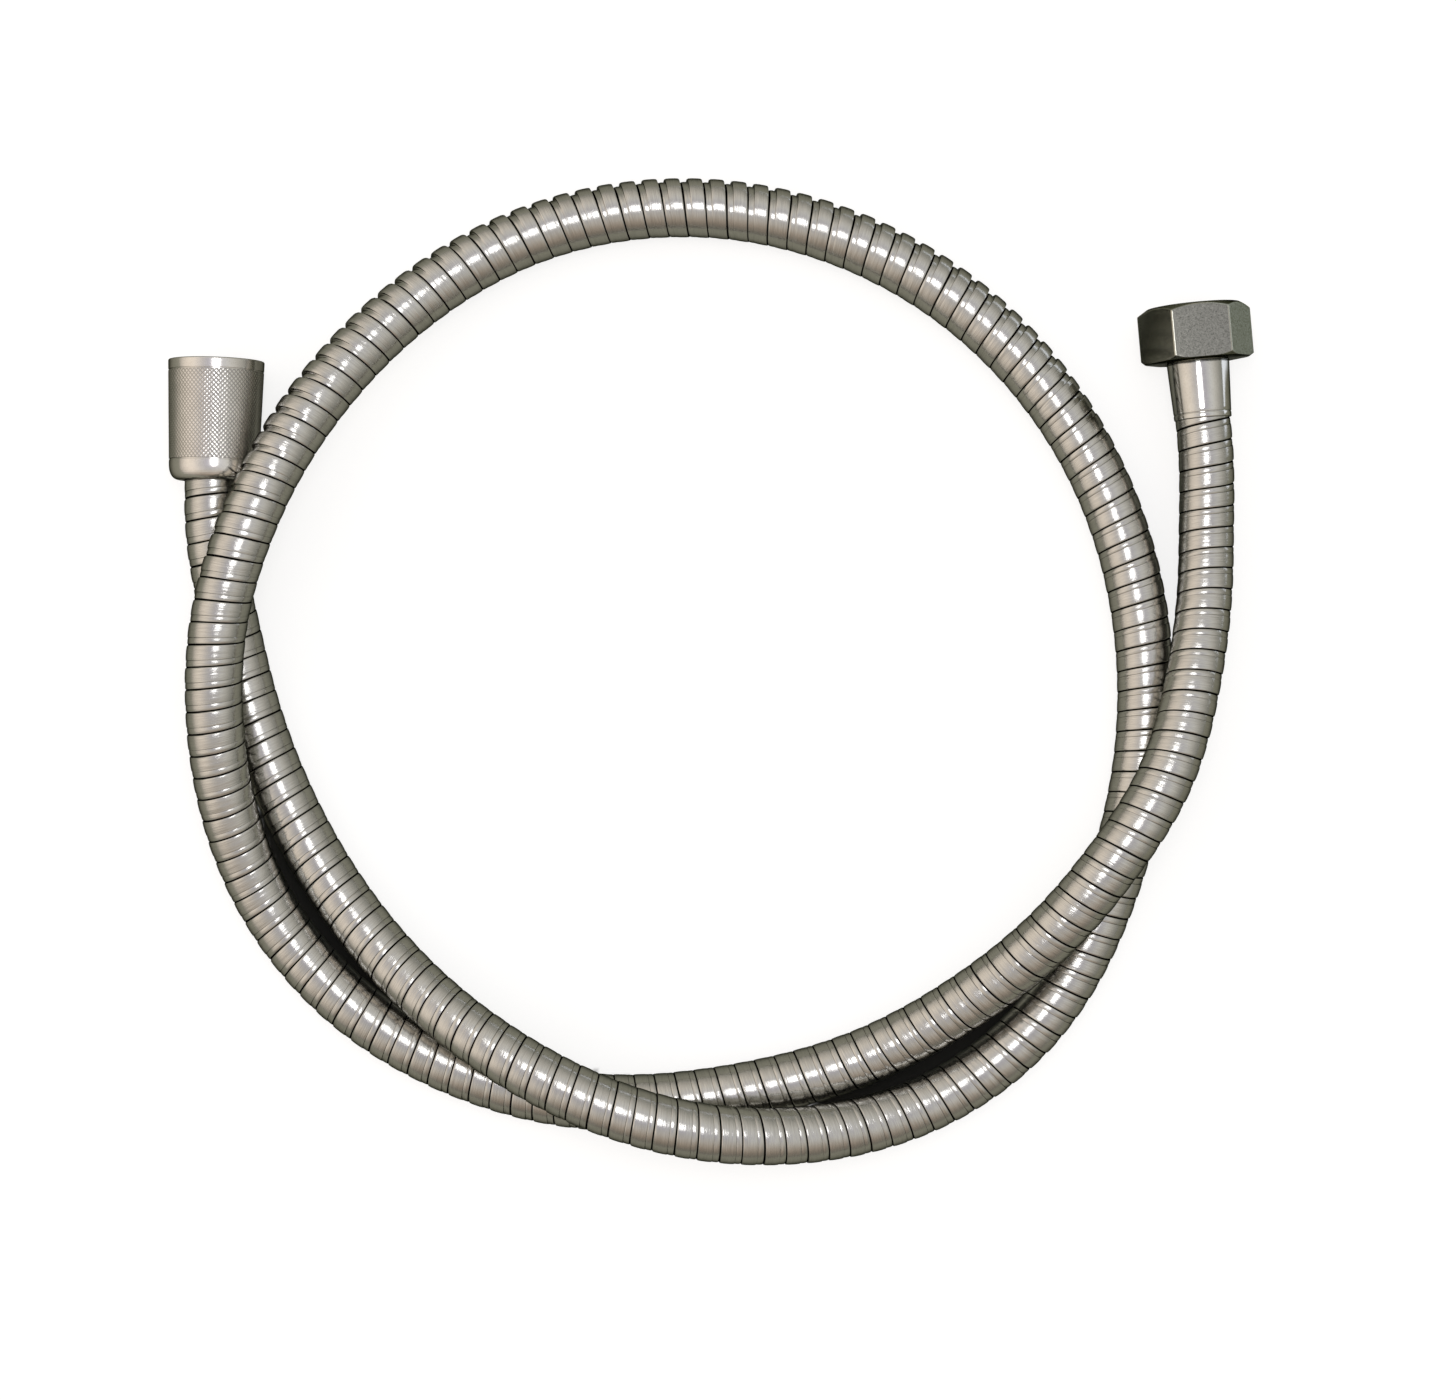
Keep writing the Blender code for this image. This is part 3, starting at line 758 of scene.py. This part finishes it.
def hexagonal_nut():
    """Rows from the mouth's face over the cone, the sides, and the smaller cone at the back, and then back inside.
    The plating is lighter along the corners, and less along the arches: wear together with a painted highlight."""
    angle = hexagon_angles()
    side = hexagon_radius(angle)
    front_t, front_r = hexagon_end(side, HEX_FACE_R)
    back_t, back_r = hexagon_end(side, HEX_BACK_R)
    inside_t, inside_r = thread_rows(angle)
    t = np.concatenate([front_t, NUT_BACK - back_t[::-1], inside_t])
    r = np.concatenate([front_r, back_r[::-1], inside_r])
    points = turn_round(angle, t, r, hex_frame)
    faces = grid_faces(len(t), len(angle), True, True)
    nut = make_piece("hexagonal_nut", points.reshape(-1, 3), faces, satin_nickel)
    wear_and_painted_light = np.zeros(t.shape)
    back = len(front_t) + len(back_t)
    # Wear with a painted highlight: the corners are made lighter in colour, and the arches' edges less.
    wear_and_painted_light[5:back - 5] = np.interp(np.degrees(from_corner(angle)), [0.7, 1.044, 1.5], [0.7, 0.5, 0.1])
    wear_and_painted_light[[4, 5]] = 0.35
    wear_and_painted_light[[back - 5, back - 6]] = 0.25
    set_at_points(nut, "wear_and_painted_light", wear_and_painted_light)
    return nut


hex_nut = hexagonal_nut()
print("hexagonal nut:", triangle_count(hex_nut), "triangles")

# %% [markdown]
# ## The knurled nut
# The knurl is two sets of fine V grooves pressed in along opposite screws, which leave small flat-topped diamonds.
# Each set is a triangle wave of the angle plus or minus the place along the axis, cut off at half its height, and
# the lower of the two is the surface. The grid has four steps to a diamond both ways, its triangles are split along
# the grooves, and the grooves are painted darker as shade.

# %% The knurled nut
KNURLED_MOUTH_R, KNURLED_WAIST_R = 0.01165, 0.0109
KNURLED_LENGTH, KNURLED_SHOULDER = 0.0293, 0.0248
KNURLED_HOLE_R, KNURLED_END_R = 0.0074, 0.0080
SHOULDER_POWER = 2.6
DIAMONDS = 66
DIAMOND_LENGTH = 0.00114
KNURL_FROM, KNURL_ROWS = 0.0028, 76
KNURL_DEPTH = 0.000045
KNURL_PAINTED_SHADE = 0.6
GROOVE = 0.00022


def taper(t):
    """The nut's plain radius: a straight taper, then a rounded shoulder, a quarter of a squarish ellipse."""
    straight = KNURLED_MOUTH_R - (KNURLED_MOUTH_R - KNURLED_WAIST_R) * np.clip(t / KNURLED_SHOULDER, 0, 1)
    over = np.clip((t - KNURLED_SHOULDER) / (KNURLED_LENGTH - KNURLED_SHOULDER), 0, 1)
    rounded = np.maximum(1 - over**SHOULDER_POWER, 0) ** (1 / SHOULDER_POWER)
    return straight - (KNURLED_WAIST_R - KNURLED_END_R) * (1 - rounded)


def knurled_nut():
    """Rows: rim, groove, knurl, groove, plain band and shoulder, then the hole, the socket and the thread. Each cell is
    cut along the diagonal that lies along a knurl groove."""
    columns = 4 * DIAMONDS
    angle = even_angles(columns)
    step = DIAMOND_LENGTH / 4
    knurl_t = KNURL_FROM + step * np.arange(KNURL_ROWS)
    knurl_end = knurl_t[-1]
    rim = [(0.0, -0.00045), (0.00008, -0.00018), (0.00022, -0.00004), (0.0004, 0.0), (0.0013, 0.0), (0.00235, 0.0),
           (0.00245, -0.00003), (0.0025, -GROOVE), (KNURL_FROM - 0.00008, -GROOVE)]
    band = [(knurl_end + 0.00008, -GROOVE), (knurl_end + 0.0003, -GROOVE), (knurl_end + 0.00035, -0.00003),
            (knurl_end + 0.00045, 0.0)]
    ease = np.sin(np.linspace(0, math.pi / 2, 14))
    shoulder = KNURLED_SHOULDER + (KNURLED_LENGTH - KNURLED_SHOULDER) * ease
    rim, band = np.array(rim), np.array(band)
    plain_t = np.concatenate([band[:, 0], shoulder[shoulder > band[-1, 0] + 0.0001]])
    plain_drop = np.concatenate([band[:, 1], np.zeros(len(plain_t) - len(band))])
    round_step = np.arange(columns) / 4
    along_step = np.arange(KNURL_ROWS)[:, None] / 4
    peak = np.minimum(triangle_wave(round_step + along_step), triangle_wave(round_step - along_step))
    knurl_r = taper(knurl_t)[:, None] - KNURL_DEPTH * (1 - np.minimum(2 * peak, 1))
    inside_t, inside_r = thread_rows(angle)
    back = np.full((1, columns), KNURLED_HOLE_R)
    t = [rim[:, 0], knurl_t, plain_t, [KNURLED_LENGTH, NUT_BACK]]
    t = np.concatenate([np.broadcast_to(np.concatenate(t)[:, None], (sum(map(len, t)), columns)), inside_t])
    r = np.concatenate([
        np.broadcast_to((taper(rim[:, 0]) + rim[:, 1])[:, None], (len(rim), columns)), knurl_r,
        np.broadcast_to((taper(plain_t) + plain_drop)[:, None], (len(plain_t), columns)), back, back, inside_r])
    points = turn_round(angle, t, r, knurled_frame).reshape(-1, 3)
    quads = grid_faces(len(t), columns, True, True)
    i, j = np.divmod(np.arange(len(quads)), columns)
    i = i - len(rim)
    other = (i >= 0) & (i < KNURL_ROWS - 1) & ((i + j) % 4 == 3)
    a, b, c, d = quads.T
    first = np.where(other[:, None], np.stack([a, b, d], 1), np.stack([a, b, c], 1))
    second = np.where(other[:, None], np.stack([b, c, d], 1), np.stack([a, c, d], 1))
    nut = make_piece("knurled_union_nut", points, np.concatenate([first, second]), knurled_chrome, 5.0)
    groove_shade = np.zeros(t.shape)
    # Painted shade: the colour darkens towards the bottoms of the knurl's grooves.
    groove_shade[len(rim):len(rim) + KNURL_ROWS] = KNURL_PAINTED_SHADE * np.maximum(1 - 2 * peak, 0)
    set_at_points(nut, "wear_and_painted_light", groove_shade)
    return nut


round_nut = knurled_nut()
print("knurled nut:", triangle_count(round_nut), "triangles")

# %% [markdown]
# ## The sleeves, tails and washers
# The sleeve behind the hexagonal nut is a plain tube with a slight taper, a soft edge at both ends and a faint
# pressed ring where it grips the casing. The brass tails and rubber washers show only in the mouths.

# %% The sleeves, tails and washers
def hex_end_sleeve():
    """The outline of the sleeve behind the hexagonal nut, from its end at the nut round to its bore."""
    outside = [(13.36, 7.35), (13.4, 7.47), (13.5, 7.55), (13.7, 7.585), (17.0, 7.44), (21.0, 7.25), (25.2, 7.045)]
    ring = [(25.95, 7.01), (26.03, 6.97), (26.1, 6.87), (26.22, 6.87), (26.3, 6.96), (26.4, 6.99)]
    end = [(27.2, 6.975), (27.38, 6.94), (27.48, 6.86), (27.54, 6.72), (27.54, 5.8)]
    bore = [(32.3, 5.8), (32.3, 5.45), (18.3, 5.45), (18.3, 6.5), (13.36, 6.5)]
    return turned("plain_sleeve", hex_frame, outside + ring + end + bore, bright_chrome, 96)


def brass_tail(name, fitting):
    """The tail's outline: a rounded flange, the neck, four barbs, and the waterway with its wider mouth."""
    flange = [(8.6, 8.75), (8.66, 8.86), (8.8, 8.9), (9.8, 8.9), (9.94, 8.86), (10.0, 8.75), (10.0, 6.2)]
    neck = [(17.9, 6.2), (18.0, 6.1)]
    barbs = [p for k in range(4) for p in ((18.0 + 3 * k, 3.15), (18.75 + 3 * k, 3.45))]
    bore = [(30.0, 3.15), (30.0, 2.7), (9.8, 2.7), (8.7, 4.3), (8.6, 4.4)]
    return turned(name, fitting, flange + neck + barbs + bore, turned_brass, 72)


def flat_washer(name, fitting):
    """A flat ring with softened edges."""
    outline = [(6.3, 5.6), (6.3, 9.0), (6.36, 9.07), (6.45, 9.1), (8.15, 9.1), (8.24, 9.07), (8.3, 9.0), (8.3, 5.6),
               (8.24, 5.53), (8.15, 5.5), (6.45, 5.5), (6.36, 5.53)]
    return turned(name, fitting, outline, washer_rubber, 72)


sleeve = hex_end_sleeve()
tails = {"hex_tail": brass_tail("valve_end_tail", hex_frame),
         "knurled_tail": brass_tail("hand_end_tail", knurled_frame)}
washers = {"hex_washer": flat_washer("valve_end_washer", hex_frame),
           "knurled_washer": flat_washer("hand_end_washer", knurled_frame)}
inner_sleeve = bpy.data.objects["knurled_sleeve"]
inner_sleeve.data.materials.clear()
inner_sleeve.data.materials.append(bright_chrome)
print("sleeve:", triangle_count(sleeve), "triangles")

# %% [markdown]
# ## What moves, and what stands for which solid
# The two nuts and their washers spin, and the rest is the hose. Each new piece says which solid it stands for
# and which finish it has.

# %% Bodies, solids and finishes
PIECES = [
    (casing, "hose", "outer_hose", "casing_strip"),
    (liner, "hose", "inner_hose", "liner_rubber"),
    (sleeve, "hose", "hex_sleeve", "chrome"),
    (tails["hex_tail"], "hose", "hex_tail", "brass"),
    (tails["knurled_tail"], "hose", "knurled_tail", "brass"),
    (hex_nut, "hex_union", "hex_nut", "satin_nickel"),
    (washers["hex_washer"], "hex_union", "hex_washer", "washer_rubber"),
    (round_nut, "knurled_union", "knurled_nut", "chrome"),
    (washers["knurled_washer"], "knurled_union", "knurled_washer", "washer_rubber"),
]
for piece, body, node, finish in PIECES:
    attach(piece, body)
    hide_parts(node)
print("pieces:", len(PIECES) + 1)

# %% [markdown]
# ## The floor
# The background is white, so the floor glows white to the eye and still takes the shadow. Polished metal shows what
# is round it, and round the photographed hose that was dim, so mirrors see a dimmer floor. Little light gets down
# between two strands that lie side by side, and the floor is black there. How closed in each point is follows from
# its distances to the line of the hose, and the floor's mesh keeps it as a number that the material reads.

# %% The floor
FLOOR_HALF, FLOOR_LEVEL = 2.5, -0.0002
FINE_X, FINE_Y = (-0.145, 0.145, 194), (-0.20, 0.06, 174)
FLOOR_GLOW = 0.74
GLOW_IN_MIRRORS = 0.03
# A patch right of the hexagonal nut glows only in mirrors: a painted reflection on the nut's right face.
NUT_FACE_PAINTED_REFLECTION = 1.4
PALE_FROM_X, PALE_FROM_Y = (0.132, 0.145), (0.008, 0.014)
# MIRRORED_GLOW tints the floor's glow as mirrors see it, bluish for that painted reflection.
MIRRORED_COLOUR, MIRRORED_GLOW = (0.35, 0.36, 0.29), (0.95, 1.02, 1.2)
# Painted shadow: the floor's colour to the eye in the narrow gaps between strands.
GAP_SHADOW_COLOUR = (0.015, 0.015, 0.013)
# The middles of two strands are this far apart where they cross, lie side by side, lie close, and leave the floor open.
CROSSING, APART, NARROW, WIDE = 0.0125, 0.0135, 0.0184, 0.0198
# A point under a strand, or beside it, is this far from the strand's middle.
UNDER, BESIDE = 0.0030, 0.0045
OPEN_ABOVE = -0.072


def closed_in(x, y):
    """How closed in the floor is along one row of points: 1 where two strands of hose lie close on either side, else
    0. It is told by the distance to the nearest point of the line plus that to the nearest one the other way. Above
    OPEN_ABOVE the strands part again and let the light in, and right under a strand, or where two of them cross, the
    floor keeps its own shadow."""
    if y > OPEN_ABOVE:
        return np.zeros(len(x))
    strand = along(middle, np.arange(0.0, casing_length, 0.001))[:, :2]
    away = strand[None] - np.stack([x, np.full(len(x), y)], axis=1)[:, None]
    length = np.linalg.norm(away, axis=2)
    nearest = away[np.arange(len(x)), length.argmin(axis=1)]
    other_way = np.sum(away * nearest[:, None], axis=2) < 0
    across = length.min(axis=1) + np.where(other_way, length, np.inf).min(axis=1)
    in_the_gap = smoothstep((length.min(axis=1) - UNDER) / (BESIDE - UNDER))
    side_by_side = smoothstep((across - CROSSING) / (APART - CROSSING))
    return in_the_gap * side_by_side * (1 - smoothstep((across - NARROW) / (WIDE - NARROW)))


def floor_look():
    """A pale matt floor that is white to the eye and still keeps the shadow. It is painted dark in the narrow gaps, as
    shadow, and mirrors see less of its own light, because the photographed metal mirrors a dimmer surface under it.
    To the right of the hexagonal nut a pale bluish patch glows for mirrors only: a painted reflection on the nut's
    right face."""
    material, tree, shader = start_material("pale_floor", (0.42, 0.42, 0.42), 0.0, 0.9)
    place = object_place(tree)
    paper = noise(tree, place, 900.0, 3.0)
    path = add_node(tree, "ShaderNodeLightPath").outputs
    gap = add_node(tree, "ShaderNodeAttribute", attribute_name="gap").outputs["Fac"]
    # Painted shadow in the gaps, seen by the eye only.
    painted_gap_shadow = arithmetic(tree, "MULTIPLY", gap, path["Is Camera Ray"])
    colour = mix(tree, paper, (0.41, 0.41, 0.41), (0.43, 0.43, 0.43))
    colour = mix(tree, path["Is Glossy Ray"], colour, MIRRORED_COLOUR)
    tree.links.new(mix(tree, painted_gap_shadow, colour, GAP_SHADOW_COLOUR), shader.inputs["Base Color"])
    parts = add_node(tree, "ShaderNodeSeparateXYZ", {"Vector": place}).outputs
    # Painted reflection: a paler glow for mirrors only, to the right of the hexagonal nut.
    nut_face_reflection = spread(tree, parts["Y"], 0.0, NUT_FACE_PAINTED_REFLECTION, *PALE_FROM_Y)
    in_mirrors = spread(tree, parts["X"], GLOW_IN_MIRRORS, nut_face_reflection, *PALE_FROM_X)
    mirrored = arithmetic(tree, "MULTIPLY", path["Is Glossy Ray"], in_mirrors)
    seen = arithmetic(tree, "SUBTRACT", path["Is Camera Ray"], painted_gap_shadow)
    for part in (mirrored, path["Is Transmission Ray"]):
        seen = arithmetic(tree, "ADD", seen, part)
    tree.links.new(mix(tree, path["Is Glossy Ray"], (1.0, 1.0, 1.0), MIRRORED_GLOW), shader.inputs["Emission Color"])
    tree.links.new(arithmetic(tree, "MULTIPLY", seen, FLOOR_GLOW), shader.inputs["Emission Strength"])
    return material


def white_floor():
    """A wide flat grid, fine under the hose and coarse round it, that holds how closed in each point is."""
    x, y = (np.concatenate([[-FLOOR_HALF], np.linspace(*fine), [FLOOR_HALF]]) for fine in (FINE_X, FINE_Y))
    points = np.stack([*np.meshgrid(x, y), np.full((len(y), len(x)), FLOOR_LEVEL)], axis=-1).reshape(-1, 3)
    piece = make_piece("pale_floor", points, grid_faces(len(y), len(x)), floor_look())
    set_at_points(piece, "gap", np.concatenate([closed_in(x, row) for row in y]))
    return piece


floor = white_floor()
print("floor:", triangle_count(floor), "triangles")

# %% [markdown]
# ## The lamp
# One soft lamp over the camera makes the thin bright line along the top of the hose. Its outline is an ellipse,
# longer up the picture than across it, so the line is a little wider on the strands that lie level in the picture.

# %% The lamp
LAMP_PLACE = (0.01, 0.01, 0.96)
LAMP_WIDTH, LAMP_LENGTH = 0.28, 0.40
LAMP_WATTS = 1.3

lamp = bpy.data.lights.new("key", "AREA")
lamp.shape = "ELLIPSE"
lamp.size, lamp.size_y = LAMP_WIDTH, LAMP_LENGTH
lamp.energy = LAMP_WATTS
lamp_object = bpy.data.objects.new("key", lamp)
lamp_object.location = LAMP_PLACE
bpy.context.scene.collection.objects.link(lamp_object)
print("lamp:", LAMP_WATTS, "W at", LAMP_PLACE)

# %% [markdown]
# ## The room
# Chrome shows the room more than itself. A picture of a room would do, but a few colours by direction are enough,
# and each can be set by what one side of the hose shows: warm and pale on the left, dim and brown in front, and
# grey-green on the right and at the back.

# %% The room
# Grey-to-colour stops by the height of the direction, from level (0) to overhead (1), for three sides of the room.
ROOM_RIGHT_AND_BACK = [(0.0, (0.30, 0.30, 0.27)), (0.28, (0.44, 0.43, 0.39)), (0.5, (0.60, 0.58, 0.53)),
                       (0.68, (0.75, 0.73, 0.68)), (0.82, (0.82, 0.81, 0.79)), (0.93, (0.72, 0.71, 0.73)),
                       (0.985, (0.60, 0.58, 0.64))]
ROOM_LEFT = [(0.0, (0.55, 0.51, 0.45)), (0.28, (0.95, 0.85, 0.74)), (0.5, (1.12, 1.00, 0.87)),
             (0.68, (1.08, 0.97, 0.86)), (0.82, (0.90, 0.83, 0.77)), (0.93, (0.72, 0.69, 0.69)),
             (0.985, (0.60, 0.58, 0.64))]
ROOM_FRONT = [(0.0, (0.22, 0.21, 0.18)), (0.28, (0.31, 0.26, 0.21)), (0.5, (0.46, 0.38, 0.31)),
              (0.68, (0.58, 0.51, 0.44)), (0.82, (0.68, 0.63, 0.58)), (0.93, (0.64, 0.62, 0.61)),
              (0.985, (0.60, 0.58, 0.64))]


def room():
    """The world, by direction: warm and pale on the left, dim and brown in front, grey-green on the right and at the
    back, and white to the eye. The angle round the room picks the side, and the height picks the colour."""
    world = bpy.data.worlds.new("room")
    bpy.context.scene.world = world
    world.use_nodes = True
    tree = world.node_tree
    background = tree.nodes["Background"]
    way = add_node(tree, "ShaderNodeTexCoord").outputs["Generated"]
    parts = add_node(tree, "ShaderNodeSeparateXYZ", {"Vector": way}).outputs
    round_room = spread(tree, arithmetic(tree, "ARCTAN2", parts["Y"], parts["X"]), 0.0, 1.0, -math.pi, math.pi)
    left = ramp(tree, round_room, [(0.0, 1.0), (0.09, 1.0), (0.25, 0.0), (0.68, 0.0), (0.80, 0.30), (0.93, 1.0)])
    front = ramp(tree, round_room, [(0.08, 0.0), (0.20, 1.0), (0.35, 0.9), (0.43, 0.0)])
    side = mix(tree, left, ramp(tree, parts["Z"], ROOM_RIGHT_AND_BACK), ramp(tree, parts["Z"], ROOM_LEFT))
    side = mix(tree, front, side, ramp(tree, parts["Z"], ROOM_FRONT))
    eye = add_node(tree, "ShaderNodeLightPath").outputs["Is Camera Ray"]
    tree.links.new(mix(tree, eye, side, (1.0, 1.0, 1.0)), background.inputs["Color"])
    return world


print("nodes of the room:", len(room().node_tree.nodes))
